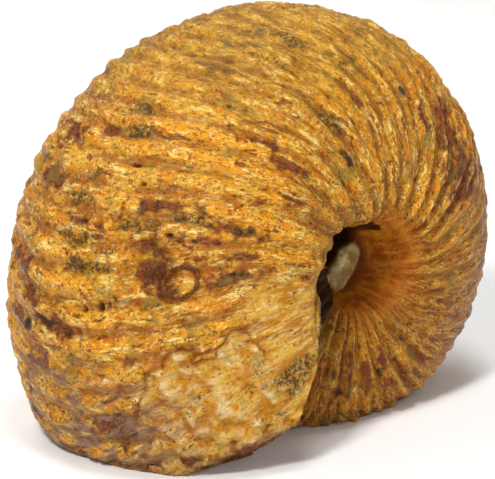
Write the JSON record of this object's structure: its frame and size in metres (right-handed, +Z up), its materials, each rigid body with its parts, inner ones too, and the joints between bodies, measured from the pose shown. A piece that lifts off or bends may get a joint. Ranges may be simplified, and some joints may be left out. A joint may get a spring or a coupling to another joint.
{
  "type": "ammonite fossil",
  "caption": "Inflated, tightly coiled ammonite turned to stone, with fine forked ribs, a deep umbilicus on each side and a flat broken base it rests on.",
  "frame": {"origin": "on the flat break, at the middle of the shell's length and width", "axes": "+Z up, the coil axis parallel to Y, +X towards the older side of the last whorl"},
  "size_m": [0.0876, 0.0648, 0.0704],
  "materials": {
    "fossil_stone": "ochre and rust-brown stone under a glossy varnish"
  },
  "bodies": {
    "root": {"ammonite": "fossil_stone"}
  },
  "joints": []
}
